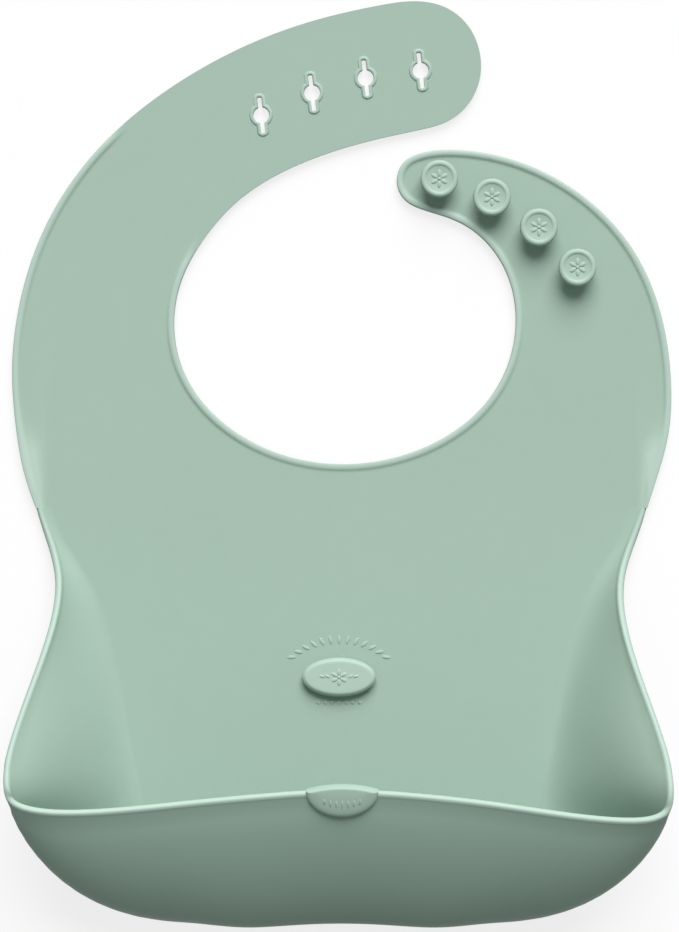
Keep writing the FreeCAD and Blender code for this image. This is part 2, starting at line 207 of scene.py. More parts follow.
# %% Fit a natural cubic spline
def line_through(points, knots=None):
    """The smoothest line through some points, as a function that goes from 0 at its start to 1."""
    points = np.array(points, float)
    if knots is None:
        runs = np.linalg.norm(np.diff(points, axis=0), axis=1)
        knots = np.concatenate([[0], np.cumsum(runs)]) / runs.sum()
    gap = np.diff(knots)
    last = len(knots) - 1
    rows, turns = np.eye(last + 1), np.zeros_like(points)
    for i in range(1, last):
        rows[i, i - 1:i + 2] = gap[i - 1], 2 * (gap[i - 1] + gap[i]), gap[i]
        turns[i] = 6 * ((points[i + 1] - points[i]) / gap[i] - (points[i] - points[i - 1]) / gap[i - 1])
    bend = np.linalg.solve(rows, turns)

    def at(t):
        i = int(np.clip(np.searchsorted(knots, t) - 1, 0, last - 1))
        to_next, from_last, h = knots[i + 1] - t, t - knots[i], gap[i]
        return ((bend[i] * to_next ** 3 + bend[i + 1] * from_last ** 3) / (6 * h)
                + (points[i] / h - bend[i] * h / 6) * to_next
                + (points[i + 1] / h - bend[i + 1] * h / 6) * from_last)
    return at


# %% [markdown]
# ## The flat sheet with its raised edge
# The chest and both straps are cut from one outline. It could be traced with a curve and filled, but a
# raised edge needs rings that follow the outline inwards, and that is what insetting a face does: each
# inset moves in by a little and up or down by a little, so a list of such steps is the edge's profile.

# %% Draw the outline
SHEET = 2.0
LEFT_EDGE = [(-101.7, -15.0), (-104.9, -5.7), (-108.6, 14.2), (-109.6, 30.9), (-107.2, 52.5), (-100.6, 74.1),
             (-84.3, 100.7), (-53.0, 127.4), (-13.8, 145.8), (12.8, 152.3)]
HOLED_END = [(26.1, 153.6), (34.6, 151.6), (41.6, 146.2), (45.7, 138.0), (46.2, 128.6), (42.9, 120.4),
             (35.8, 114.0), (26.1, 110.9)]
NECK = [(12.8, 108.0), (-13.8, 99.5), (-34.1, 87.5), (-46.1, 74.1), (-53.4, 60.2), (-55.7, 46.5),
        (-53.0, 31.6), (-45.4, 19.2), (-33.6, 9.2), (-17.6, 2.1), (0.5, -0.4), (18.6, 2.0), (34.8, 8.8),
        (47.0, 18.7), (55.2, 32.2), (58.0, 46.9), (55.7, 61.2), (48.9, 72.6), (39.5, 79.9)]
BUTTON_END = [(27.6, 84.1), (21.0, 87.6), (18.4, 93.6), (20.6, 99.9), (27.0, 103.2)]
RIGHT_EDGE = [(39.5, 104.1), (59.4, 100.1), (82.0, 87.5), (97.0, 71.0), (105.6, 52.0), (109.6, 28.0),
              (108.6, 8.6), (105.0, -4.7), (101.7, -15.0)]
OUTLINE_STEPS = 900
SPARE = 9.0              # rubber below the chest fold, which is cut away again

edge_line = line_through(LEFT_EDGE + HOLED_END + NECK + BUTTON_END + RIGHT_EDGE)
outline = [edge_line(i / OUTLINE_STEPS) for i in range(OUTLINE_STEPS + 1)]
outline += [outline[-1] - (0, SPARE), outline[0] - (0, SPARE)]
print("outline of", len(outline), "points")

# %% Raise the sheet and its edge
SIDE_FOOT, SIDE_TOP = 0.45, 2.45
BEAD_STEPS = [(0.08, 0.27), (0.20, 0.22), (0.30, 0.12), (0.37, 0.04), (0.40, -0.05), (0.35, -0.17),
              (0.30, -0.28), (0.25, -0.28), (0.25, -0.20), (0.35, -0.10), (0.45, -0.02),
              (0.6, 0.0), (0.6, 0.0)]
WALL_START_X = 95.6      # the pocket's wall leaves the sheet here, at the chest fold
LEAN_LINES = (WALL_START_X, 97.4, 99.0)      # cuts that let the edge lean up
BACK_STEPS = [(0.06, 0.22), (0.12, 0.15), (0.22, 0.08)]


def slice_at(bm, at, towards, drop=None, close=True):
    """Cuts straight through a mesh, drops what is 'past' or 'before' the cut, and closes the end."""
    bmesh.ops.bisect_plane(bm, geom=bm.verts[:] + bm.edges[:] + bm.faces[:], dist=0.0002,
                           plane_co=(at[0], at[1], 0), plane_no=(towards[0], towards[1], 0),
                           clear_outer=drop == "past", clear_inner=drop == "before")
    if drop and close:
        bmesh.ops.edgeloop_fill(bm, edges=[e for e in bm.edges if e.is_boundary])


def stepped(bm, face, steps):
    """Insets a face again and again, by a step inwards and a step outwards from its plane each time."""
    for inward, rise in steps:
        bmesh.ops.inset_region(bm, faces=[face], thickness=inward, depth=rise, use_even_offset=True)


def plate():
    """The whole sheet above the pocket, flat, with its raised edge."""
    bm = bmesh.new()
    back = bm.faces.new([bm.verts.new((x, y, SIDE_FOOT)) for x, y in outline])
    bm.normal_update()
    if back.normal.z > 0:
        back.normal_flip()
    made = bmesh.ops.extrude_face_region(bm, geom=[back], use_keep_orig=True)["geom"]
    front = next(g for g in made if isinstance(g, bmesh.types.BMFace))
    bmesh.ops.translate(bm, vec=(0, 0, SIDE_TOP - SIDE_FOOT), verts=list(front.verts))
    bmesh.ops.recalc_face_normals(bm, faces=bm.faces)
    stepped(bm, front, BEAD_STEPS)
    stepped(bm, back, BACK_STEPS)
    for x in LEAN_LINES:
        slice_at(bm, (x, 0), (1, 0))
        slice_at(bm, (-x, 0), (1, 0))
    return bm


flat = plate()
print("plate:", len(flat.faces), "faces, from z", round(min(v.co.z for v in flat.verts), 2),
      "to", round(max(v.co.z for v in flat.verts), 2))

# %% [markdown]
# ## Fading and lifting the edge
# The raised edge runs out on the strap that has the holes, where the strap has to lie flat over the
# other one, and near the pocket it leans up to meet the pocket's rim. Both are small, so the points are
# moved where they are instead of being modelled again.

# %% Shape the edge
BEAD_END = Vector((-58.5, 94.0))
BEAD_END_TOWARDS = math.radians(32)
FADE = 12.0              # over this length the raised edge runs out
CHEST_FOLD_Y = -15.0
LEAN_END_Y = 22.0
WAIST_X = 101.9          # half the width at the chest fold
EDGE_LEAN = 1.15         # the edge stands this much higher at the chest fold
LEAN_CURVE = 2.2         # how late the lean starts across the edge
CHEST_TOP_Y = 30.0       # the chest skin ends here, below the straps' bends
STRAP_GAP_Y, NECK_MIDDLE_Y, BUTTON_STRAP_X = 108.0, 60.0, 15.0
RIM_STEP = 0.55          # of the pocket's rim over its wall
BEAD_HEIGHT = 1.1
BEAD_SOFTNESS = 0.62     # share of the solid part's edge height, because the moulded edge is softer


def on_button_strap(x, y):
    """Whether a place above the chest is on the strap with the buttons."""
    return x > 0 and y < STRAP_GAP_Y and (y < NECK_MIDDLE_Y or x > BUTTON_STRAP_X)


def shape_edge(bm):
    """Fades the raised edge past its end, and leans it up towards the pocket."""
    along = Vector((math.cos(BEAD_END_TOWARDS), math.sin(BEAD_END_TOWARDS)))
    for v in bm.verts:
        x, y, z = v.co
        past = (Vector((x, y)) - BEAD_END).dot(along)
        keep = 1.0 if y < CHEST_TOP_Y or on_button_strap(x, y) else 1 - ease(past, -FADE, 0)
        near_pocket = ease(y, LEAN_END_Y, CHEST_FOLD_Y)
        height = (z - SHEET) if z > SHEET else 0.0
        height *= BEAD_SOFTNESS * keep * (1 - near_pocket * (1 - RIM_STEP / BEAD_HEIGHT))
        outer = min(1.0, max(0.0, (abs(x) - WALL_START_X) / (WAIST_X - WALL_START_X)))
        v.co.z = min(z, SHEET) + height + EDGE_LEAN * near_pocket * outer ** LEAN_CURVE


shape_edge(flat)
print("edge shaped")

# %% [markdown]
# ## Cutting the sheet into skins
# Each living hinge is a joint of the model, and a skin can bend across one of them. So the plate is cut
# into four skins, always where the rubber stays rigid or right on a fold's axis, and gets extra cuts in
# the strip that bends. Both are jobs for the bisect operator, and the open ends are filled afterwards.

# %% Cut and keep
SHOULDER_Y = 45.0
TIP_FOLD = Vector((-38.5, 110.8))
TIP_TOWARDS = math.radians(41)
TIP_ALONG = Vector((math.cos(TIP_TOWARDS), math.sin(TIP_TOWARDS)))
TIP_SEAM = TIP_FOLD - TIP_ALONG * 20
CUT_GAP = 1.5            # between the cuts in a strip that bends


def slice_strip(bm, start, towards, width):
    """Parallel cuts across a strip, so that it can bend."""
    for i in range(int(width / CUT_GAP) + 1):
        slice_at(bm, Vector(start) + Vector(towards) * CUT_GAP * i, towards)


def keep_island(bm, spot):
    """Keeps the connected part of a mesh that is nearest to a spot."""
    first = min(bm.verts, key=lambda v: (v.co.xy - Vector(spot)).length)
    island, front = {first}, [first]
    while front:
        for edge in front.pop().link_edges:
            for v in edge.verts:
                if v not in island:
                    island.add(v)
                    front.append(v)
    bmesh.ops.delete(bm, geom=[v for v in bm.verts if v not in island], context="VERTS")


def paint_highlight_and_wear(bm, share):
    """Stores the painted highlight, and the wear, of each point, from a rule on its place."""
    layer = bm.verts.layers.float.get("highlight_and_wear") or bm.verts.layers.float.new("highlight_and_wear")
    for v in bm.verts:
        v[layer] = share(v.co)


def on_bead(co):
    return ease(co.z, SHEET + 0.08, SHEET + 0.6)


def skin(name, cuts, spot, strip, fill=True):
    """One skin of the sheet, from the cuts that bound it and the strip across which it bends."""
    bm = flat.copy()
    for at, towards, drop in cuts:
        slice_at(bm, at, towards, drop)
    keep_island(bm, spot)
    slice_strip(bm, *strip)
    if fill:
        bmesh.ops.triangulate(bm, faces=[f for f in bm.faces if len(f.verts) > 4])
    # painted highlight along the raised edge
    paint_highlight_and_wear(bm, on_bead)
    return make_piece(bm, name, sheet_rubber)


UP = (0, 1)
CHEST_BEND, SHOULDER_BEND = 21, 24           # how wide a strip bends at the chest and at the shoulders
chest = skin("chest_skin", [((0, CHEST_FOLD_Y), UP, "before"), ((0, CHEST_TOP_Y), UP, "past")],
             (0, -10), ((0, CHEST_FOLD_Y + CUT_GAP), UP, CHEST_BEND))
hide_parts("chest_panel", "chest_bead")
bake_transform(chest)

left_strap = skin("left_strap_skin", [((0, CHEST_TOP_Y), UP, "before"), (TIP_SEAM, TIP_ALONG, "past")],
                  (-90, 50), ((0, SHOULDER_Y - SHOULDER_BEND / 2), UP, SHOULDER_BEND))
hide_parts("left_strap", "left_strap_bead")
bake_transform(left_strap)

right_strap = skin("right_strap_skin", [((0, CHEST_TOP_Y), UP, "before")],
                   (90, 50), ((0, SHOULDER_Y - SHOULDER_BEND / 2), UP, SHOULDER_BEND))
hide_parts("button_strap", "button_strap_bead")
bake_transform(right_strap)

# %% [markdown]
# ## Shapes built up in rings
# A keyhole's collar, the oval boss and the oval socket all have one outline that steps in and out as it
# rises. The lathe can't make them, because they aren't round, so each is a stack of rings of its own
# outline, bridged from one to the next, and closed at both ends or into a hollow wall.

# %% Rings and stacks
def ring(bm, points, z):
    """A closed loop of edges at one height."""
    verts = [bm.verts.new((x, y, z)) for x, y in points]
    return [bm.edges.new(pair) for pair in zip(verts, verts[1:] + verts[:1])]


def stack(bm, shape, levels, hollow=False):
    """Rings of a shape at each (grow, z) level, bridged into a solid or a hollow wall."""
    loops = [ring(bm, shape(grow), z) for grow, z in levels]
    pairs = list(zip(loops, loops[1:])) + ([(loops[-1], loops[0])] if hollow else [])
    for one, two in pairs:
        bmesh.ops.bridge_loops(bm, edges=one + two)
    if not hollow:
        bmesh.ops.holes_fill(bm, edges=[e for e in bm.edges if e.is_boundary], sides=0)
        bmesh.ops.triangulate(bm, faces=[f for f in bm.faces if len(f.verts) > 4])


def oval(size, steps=96):
    """A function that gives the points of an oval, grown outwards by some millimetres."""
    def points(grow):
        turns = [2 * math.pi * i / steps for i in range(steps)]
        return [((size[0] / 2 + grow) * math.cos(a), (size[1] / 2 + grow) * math.sin(a)) for a in turns]
    return points


# %% [markdown]
# ## Keyholes
# A button's head is pushed through a keyhole: a round middle with a narrow arm on each side, so that the
# rubber can open up. The hole is cut with a Boolean modifier, whose exact solver copes with a big flat
# face, and the collar that stops the rubber tearing is a hollow stack of rings round it.

# %% Draw a keyhole
HOLE_MIDDLE, HOLE_ARM, HOLE_END, HOLE_REACH = 2.65, 0.7, 1.0, 5.0
HOLE_LEAN = math.radians(7)
ARM_STEPS, MIDDLE_STEPS = 12, 20     # round an arm's end, and round half of the middle


def keyhole(grow):
    """The points of an upright keyhole, grown outwards."""
    middle, arm, end = HOLE_MIDDLE + grow, HOLE_ARM + grow, HOLE_END + grow
    leave, neck = math.asin(arm / middle), math.asin(arm / end)
    arcs = [(-neck, neck, end, HOLE_REACH, ARM_STEPS),
            (leave, math.pi - leave, middle, 0.0, MIDDLE_STEPS),
            (math.pi - neck, math.pi + neck, end, -HOLE_REACH, ARM_STEPS),
            (math.pi + leave, 2 * math.pi - leave, middle, 0.0, MIDDLE_STEPS)]
    return [(radius * math.sin(a), y + radius * math.cos(a))
            for start, stop, radius, y, steps in arcs
            for a in np.linspace(start, stop, steps + 1)]


def at_hole(bm, number):
    """Leans a shape drawn at the origin, and moves it to a hole."""
    low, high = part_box(f"hole_collar_{number}")
    middle = (low + high) / 2 / MM
    bmesh.ops.rotate(bm, verts=bm.verts, cent=(0, 0, 0), matrix=Matrix.Rotation(HOLE_LEAN, 3, "Z"))
    bmesh.ops.translate(bm, verts=bm.verts, vec=(middle.x, middle.y, 0))


# %% Punch the holes
NEEDLE = 0.00001         # metres: slivers thinner than this are merged away


def punched(target):
    """Cuts the four keyholes through a skin, and leaves no modifier behind."""
    for number in range(1, 5):
        bm = bmesh.new()
        stack(bm, keyhole, [(0, -2), (0, 6)])
        bmesh.ops.recalc_face_normals(bm, faces=bm.faces)
        at_hole(bm, number)
        punch = make_piece(bm, f"punch_{number}", sheet_rubber)
        cut = target.modifiers.new("hole", "BOOLEAN")
        cut.operation, cut.solver, cut.object = "DIFFERENCE", "EXACT", punch
        done = bpy.data.meshes.new_from_object(target.evaluated_get(bpy.context.evaluated_depsgraph_get()))
        target.modifiers.clear()
        target.data = done
        bpy.data.objects.remove(punch)
    bm = bmesh.new()
    bm.from_mesh(target.data)
    bmesh.ops.remove_doubles(bm, verts=bm.verts, dist=NEEDLE)
    bmesh.ops.dissolve_degenerate(bm, edges=bm.edges, dist=NEEDLE)
    bmesh.ops.triangulate(bm, faces=[f for f in bm.faces if len(f.verts) > 4])
    bmesh.ops.recalc_face_normals(bm, faces=bm.faces)
    bm.to_mesh(target.data)
    bm.free()
    target.data.set_sharp_from_angle(angle=SOFT_ANGLE)


holed_end = skin("holed_end_skin", [(TIP_SEAM, TIP_ALONG, "before"), ((0, CHEST_TOP_Y), UP, "before")],
                 (20, 150), (TIP_FOLD - TIP_ALONG * 14, TIP_ALONG, 21), fill=False)
punched(holed_end)
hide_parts("holed_strap_end")
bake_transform(holed_end)
print("holed end:", len(holed_end.data.polygons), "faces after punching")

# %% Put a collar round each hole
COLLAR_LEVELS = [(0.25, 1.80), (0.02, 2.08), (0.02, 2.24), (0.10, 2.35), (0.28, 2.42), (0.55, 2.45),
                 (0.80, 2.42), (0.98, 2.34), (1.10, 2.22), (1.25, 2.05), (1.34, 1.80)]
for number in range(1, 5):
    bm = bmesh.new()
    stack(bm, keyhole, COLLAR_LEVELS, hollow=True)
    at_hole(bm, number)
    # painted highlight on the collar's top
    paint_highlight_and_wear(bm, lambda co: 0.8 * ease(co.z, 2.1, 2.42))
    collar = make_piece(bm, f"keyhole_collar_{number}", fastener_rubber)
    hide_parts(f"hole_collar_{number}")
    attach(collar, "holed_strap_tip")

# %% [markdown]
# ## Relief that stands on a surface
# Small raised marks decorate the buttons, the boss and the sheet. They could be drawn as text or carved
# with a Boolean, but a moulded mark is only a soft bump, so each one is a flattened ball that sinks half
# into the rubber under it: a petal, a seed or a leaf, by how long it is.

# %% Seeds, petals and flowers
def bump(bm, at, size, turn=0.0):
    """A flattened ball: its place, its three half sizes and its turn about the upright."""
    shape = Matrix.Translation(at) @ Matrix.Rotation(turn, 4, "Z") @ Matrix.Diagonal((*size, 1))
    bmesh.ops.create_uvsphere(bm, u_segments=16, v_segments=8, radius=1, matrix=shape)


def flower(bm, at, petal, petals=6):
    """A round flower of petals about a seed."""
    for i in range(petals):
        a = math.pi / 2 + 2 * math.pi * i / petals
        out = Vector((math.cos(a), math.sin(a), 0)) * petal * 1.45
        bump(bm, Vector(at) + out, (petal, petal * 0.52, 0.30), a)
    bump(bm, at, (petal * 0.5, petal * 0.5, 0.38))


# %% [markdown]
# ## Buttons
# A button is a round head on a thin stem, so it is a lathe job: half of its outline is drawn once and
# spun round its axis. The head overhangs the stem, which is what holds the other strap.

# %% Turn the buttons
BUTTON_OUTLINE = [(2.35, 1.9), (2.35, 5.6), (2.6, 5.8), (5.2, 5.8), (5.75, 5.95), (6.1, 6.3), (6.24, 6.8),
                  (6.25, 8.2), (6.2, 8.65), (6.02, 9.02), (5.72, 9.28), (5.3, 9.4), (4.9, 9.38), (4.6, 9.26),
                  (4.42, 9.08), (4.2, 9.0)]
TURN_STEPS = 72


def turned(bm, outline_points):
    """Spins a half outline, given as (radius, height), right round the z axis."""
    verts = [bm.verts.new((r, 0, z)) for r, z in outline_points]
    edges = [bm.edges.new(pair) for pair in zip(verts, verts[1:])]
    bmesh.ops.spin(bm, geom=verts + edges, cent=(0, 0, 0), axis=(0, 0, 1), angle=2 * math.pi,
                   steps=TURN_STEPS, use_merge=True)
    bmesh.ops.holes_fill(bm, edges=[e for e in bm.edges if e.is_boundary], sides=0)
    bmesh.ops.recalc_face_normals(bm, faces=bm.faces)


for number in range(1, 5):
    low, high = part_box(f"button_{number}")
    middle = (low + high) / 2 / MM
    bm = bmesh.new()
    turned(bm, BUTTON_OUTLINE)
    flower(bm, (0, 0, 9.0), 1.25)
    bmesh.ops.translate(bm, verts=bm.verts, vec=(middle.x, middle.y, 0))
    # painted highlight on the head's top rim
    paint_highlight_and_wear(bm, lambda co: 0.9 * ease(co.z, 8.6, 9.35))
    button = make_piece(bm, f"strap_button_{number}", fastener_rubber)
    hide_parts(f"button_{number}")
    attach(button, "buttoned_strap")

# %% [markdown]
# ## The lock boss
# On the chest an oval boss stands on a thinner post. The ring behind the pocket's lip snaps over it and
# holds the pocket flat. Its wide bevel guides the ring, so it is a stack of ovals, with a small flower
# on its face and a spray of leaves on the sheet above it.

# %% Stack the boss
BOSS_SIZE = (24.5, 13.0)
BOSS_LEVELS = [(-2.6, 1.9), (-2.6, 3.3), (-0.4, 3.4), (-0.08, 3.55), (0.0, 3.8), (0.0, 4.45), (-0.06, 4.64),
               (-0.22, 4.82), (-0.85, 5.37), (-1.08, 5.51), (-1.4, 5.57), (-2.0, 5.58), (-3.2, 5.58)]
BOSS_TOP = 5.58
low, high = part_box("lock_boss")
boss_at = (low + high) / 2 / MM
bm = bmesh.new()
stack(bm, oval(BOSS_SIZE), BOSS_LEVELS)
bmesh.ops.recalc_face_normals(bm, faces=bm.faces)
flower(bm, (0, 0, BOSS_TOP), 1.15)
for side in (-1, 1):
    for reach, lean in ((3.9, 0.5), (5.6, 0.25)):
        bump(bm, (side * reach, 0.35, BOSS_TOP), (1.0, 0.42, 0.26), side * lean)
bmesh.ops.translate(bm, verts=bm.verts, vec=(boss_at.x, boss_at.y, 0))
# painted highlight on the boss's bevel and face
paint_highlight_and_wear(bm, lambda co: ease(co.z, 4.5, 5.5))
boss = make_piece(bm, "chest_lock_boss", fastener_rubber)
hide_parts("lock_boss")
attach(boss, "lower_chest")

# %% Spray leaves on the chest
SPRAY_RADIUS, SPRAY_SPREAD, SPRAY_LEAVES = 24.0, math.radians(41), 13
SPRAY_RISE, SPRAY_LEAN = 12.4, 1.9           # of its top over the boss, and how far its end leaves lean
SEED_ROW, SEED_GAP, SEED_DROP = 7, 2.3, 8.6
bm = bmesh.new()
spray_centre = Vector((boss_at.x, boss_at.y + SPRAY_RISE - SPRAY_RADIUS, SHEET))
for i in range(SPRAY_LEAVES):
    share = i / (SPRAY_LEAVES - 1)
    a = math.pi / 2 + SPRAY_SPREAD * (1 - 2 * share)
    out = Vector((math.cos(a), math.sin(a), 0)) * SPRAY_RADIUS
    tilt = a - SPRAY_LEAN * (share - 0.5)
    bump(bm, spray_centre + out, (1.5, 0.6, 0.26), tilt)
for i in range(SEED_ROW):
    bump(bm, (boss_at.x + (i - (SEED_ROW - 1) / 2) * SEED_GAP, boss_at.y - SEED_DROP, SHEET),
         (0.62, 0.62, 0.28))
# painted highlight on the relief
paint_highlight_and_wear(bm, lambda co: 0.5 * ease(co.z, SHEET, SHEET + 0.3))
spray = make_piece(bm, "chest_relief", sheet_rubber)
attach(spray, "lower_chest")

# %% [markdown]
# ## The pocket's wall
# The pocket is a bowl with an open top: a long wall that leaves the flat sheet softly, swells outwards and
# ends in a thick rim. Sculpting it by hand would be slow to repeat, so it is a grid that is laid on a
# surface. Each section of the wall is a cubic curve with four points, and four smooth rails carry those
# points round the pocket. One direction of the grid runs along the rails. The other runs up the outer
# face, over the rim and down the inner face, so the grid wraps the rubber like a sleeve.

# %% Four rails
WALL_SECTIONS = [
    ((-96.5, -13.0), (-97.8, -13.0), (-99.0, -13.0, 0.3), (-102.3, -13.0, 0.9)),
    ((-91.5, -26.0), (-93.8, -26.0), (-96.0, -26.0, 0.9), (-98.4, -26.0, 3.2)),
    ((-83.5, -39.0), (-88.0, -39.0), (-92.0, -39.0, 3.0), (-95.1, -39.0, 8.0)),
    ((-76.5, -58.0), (-83.5, -58.0), (-90.5, -58.0, 8.5), (-97.7, -58.2, 18.0)),
    ((-72.5, -78.0), (-80.5, -78.0), (-89.0, -78.0, 17.0), (-103.8, -77.3, 29.0)),
    ((-69.0, -97.0), (-77.5, -98.0), (-91.0, -98.0, 26.0), (-109.0, -96.0, 40.0)),
    ((-66.5, -109.0), (-77.0, -112.5), (-97.5, -112.5, 29.0), (-109.3, -103.6, 44.6)),
    ((-63.5, -121.0), (-80.5, -131.5), (-105.5, -129.0, 25.5), (-107.3, -108.6, 45.0)),
    ((-58.4, -129.8), (-77.0, -151.0), (-100.0, -141.5, 25.5), (-101.6, -111.2, 45.0)),
    ((-50.2, -135.4), (-65.0, -163.0), (-85.0, -147.0, 27.0), (-91.0, -112.4, 44.6)),
    ((-38.6, -137.1), (-46.0, -170.5), (-63.0, -143.5, 30.0), (-70.0, -111.5, 43.7)),
    ((-26.0, -137.2), (-30.0, -176.0), (-42.0, -139.0, 31.5), (-48.0, -109.3, 43.0)),
    ((-13.0, -137.2), (-15.0, -176.0), (-21.0, -136.0, 32.0), (-24.0, -107.1, 42.3)),
    ((0.0, -137.2), (0.0, -175.5), (0.0, -134.5, 32.0), (0.0, -105.9, 42.0)),
]
RIGHT_RIM_SAG = [(0.0, 0.0), (0.2, 0.0), (1.1, 0.0), (2.4, 0.0), (2.9, 0.0), (2.5, 0.4), (1.9, 1.6),
                 (1.5, 3.0), (1.2, 3.3), (0.6, 2.6), (0.0, 1.4), (0.0, 0.4), (0.0, 0.0), (0.0, 0.0)]
RIM_HEIGHT = 2.2
RIM_OVERHANG = 0.5


def wall_section(index, right):
    """The four points of one section, up the outer face to where the rim starts."""
    base, foot, shoulder, top = WALL_SECTIONS[index]
    side, (tuck, drop) = (-1, RIGHT_RIM_SAG[index]) if right else (1, (0.0, 0.0))
    points = [np.array(p, float) for p in (
        (side * base[0], base[1], 0), (side * foot[0], foot[1], 0),
        (side * (shoulder[0] + tuck), shoulder[1], shoulder[2]),
        (side * (top[0] + tuck), top[1] - drop, top[2]))]
    slope = points[3] - points[2]
    points[3] = points[3] - slope / np.linalg.norm(slope) * RIM_HEIGHT
    return points


lip_section = len(WALL_SECTIONS) - 1
sections = [wall_section(i, False) for i in range(lip_section + 1)]
sections += [wall_section(i, True) for i in reversed(range(lip_section))]
steps = [np.mean([np.linalg.norm(b - a) for a, b in zip(one, two)])
         for one, two in zip(sections, sections[1:])]
run = np.concatenate([[0], np.cumsum(steps)]) / sum(steps)
rails = [line_through([s[k] for s in sections], run) for k in range(4)]
print("rails through", len(sections), "sections,", round(sum(steps)), "mm round the pocket")


# %% The wall's surface
def unit(vector):
    return vector / np.linalg.norm(vector)


def on_wall(along, up, beyond=0.0, out=0.0):
    """A place on the wall: along the rails, up the face, then past its top and out from it, in mm."""
    near, far = max(0.0, along - 1e-4), min(1.0, along + 1e-4)
    at, step = [r(along) for r in rails], [r(far) - r(near) for r in rails]
    weights = ((1 - up) ** 3, 3 * up * (1 - up) ** 2, 3 * up * up * (1 - up), up ** 3)
    slopes = (-(1 - up) ** 2, (1 - up) ** 2 - 2 * up * (1 - up), 2 * up * (1 - up) - up * up, up * up)
    place = sum(w * p for w, p in zip(weights, at))
    rise = unit(sum(s * p for s, p in zip(slopes, at)))
    sideways = sum(w * p for w, p in zip(weights, step))
    outward = unit(np.cross(sideways, rise))
    return place + rise * beyond + outward * out, rise, outward


UP_STEPS = 22
ALONG_STEPS = 240
face_ups = [(k / UP_STEPS) ** 1.7 for k in range(UP_STEPS + 1)]
face_ups = [0.6 * u + 0.4 * k / UP_STEPS if u > 0.02 else u for k, u in enumerate(face_ups)]
RIM_SIDE = [(0.15, 0.04), (0.40, 0.12), (0.80, 0.18), (1.30, 0.18), (1.65, 0.10), (1.92, -0.12),
            (2.08, -0.40), (2.17, -0.70)]
RIM_LINE = RIM_SIDE + [(2.2, -SHEET / 2)] + [(beyond, -SHEET - out) for beyond, out in reversed(RIM_SIDE)]
sleeve = [(u, 0.0, 0.0) for u in face_ups]
sleeve += [(1.0, beyond, out) for beyond, out in RIM_LINE]
sleeve += [(u, 0.0, -SHEET) for u in reversed(face_ups)]
print("sleeve of", len(sleeve), "points round the rubber")


# %% Lay a grid on it
CORNER_X, CORNER_Y, CORNER_Z = 103.0, (-113.0, -98.0), 38.0      # where the rim turns most tightly
CORNER_SMOOTHINGS = 8


def pocket_wall():
    """The whole wall with its rim, closed along its foot and open at its two ends."""
    bm = bmesh.new()
    bmesh.ops.create_grid(bm, x_segments=ALONG_STEPS, y_segments=len(sleeve) - 1, size=1)
    layer = bm.verts.layers.float.new("highlight_and_wear")
    foot = {}
    for v in bm.verts:
        column = round((v.co.x + 1) / 2 * ALONG_STEPS)
        row = round((v.co.y + 1) / 2 * (len(sleeve) - 1))
        up, beyond, out = sleeve[row]
        v.co = on_wall(column / ALONG_STEPS, up, beyond, out)[0]
        # painted highlight over the rim's top
        v[layer] = ease(beyond, 0.2, 1.6)
        if row in (0, len(sleeve) - 1):
            foot[v] = row
    edges = [e for e in bm.edges if e.is_boundary and all(v in foot for v in e.verts)
             and foot[e.verts[0]] == foot[e.verts[1]]]
    bmesh.ops.bridge_loops(bm, edges=edges)
    tight = [v for v in bm.verts if abs(v.co.x) > CORNER_X and CORNER_Y[0] < v.co.y < CORNER_Y[1]
             and v.co.z > CORNER_Z]
    for _ in range(CORNER_SMOOTHINGS):
        bmesh.ops.smooth_vert(bm, verts=tight, factor=0.5, use_axis_x=True, use_axis_y=True, use_axis_z=True)
    return bm


wall = pocket_wall()
print("pocket wall:", len(wall.faces), "faces")

# %% [markdown]
# ## Halves of the wall
# The front of the pocket swings while its sides stay with the chest. A cut at the corners would gape, so
# the wall is split in the middle of the lip and at the chest fold, where nothing moves apart.

# %% Split the wall
def pocket_half(name, side):
    """One half of the wall, from the chest fold to the middle of the lip."""
    bm = wall.copy()
    slice_at(bm, (0, CHEST_FOLD_Y), UP, "past", close=False)
    slice_at(bm, (0, 0), (1, 0), "past" if side < 0 else "before", close=False)
    bmesh.ops.holes_fill(bm, edges=[e for e in bm.edges if e.is_boundary], sides=0)
    bmesh.ops.triangulate(bm, faces=[f for f in bm.faces if len(f.verts) > 4])
    half = make_piece(bm, name, pocket_rubber)
    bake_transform(half)
    return half


left_half = pocket_half("pocket_left", -1)
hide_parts("left_side_wall", "left_side_rim", "pocket_front", "lip_rim")
right_half = pocket_half("pocket_right", 1)
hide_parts("right_side_wall", "right_side_rim", "pocket_front", "lip_rim")

# %% [markdown]
# ## The pocket's floor
# Between the chest fold and the wall's foot the sheet is plain. It is one face drawn round by the first
# rail, pulled up to the sheet's thickness, which keeps it exactly in line with the wall.

# %% Fill the floor
bm = bmesh.new()
floor_points = [on_wall(i / ALONG_STEPS, 0.0)[0] for i in range(ALONG_STEPS + 1)]
under = bm.faces.new([bm.verts.new(p) for p in floor_points])
raised = bmesh.ops.extrude_face_region(bm, geom=[under], use_keep_orig=True)["geom"]
bmesh.ops.translate(bm, vec=(0, 0, SHEET), verts=[g for g in raised if isinstance(g, bmesh.types.BMVert)])
slice_at(bm, (0, CHEST_FOLD_Y), UP, "past")
paint_highlight_and_wear(bm, lambda co: 0.0)
floor_skin = make_piece(bm, "pocket_floor", sheet_rubber)
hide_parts("lower_panel")
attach(floor_skin, "lower_chest")

# %% [markdown]
# ## The lip's grip and its socket
# At the middle of the lip an oval pad gives the fingers a grip, and behind it an oval ring snaps over the
# boss on the chest. Both lean with the lip, so each is drawn flat and then turned into the lip's own
# directions: across it, up it and out from it.

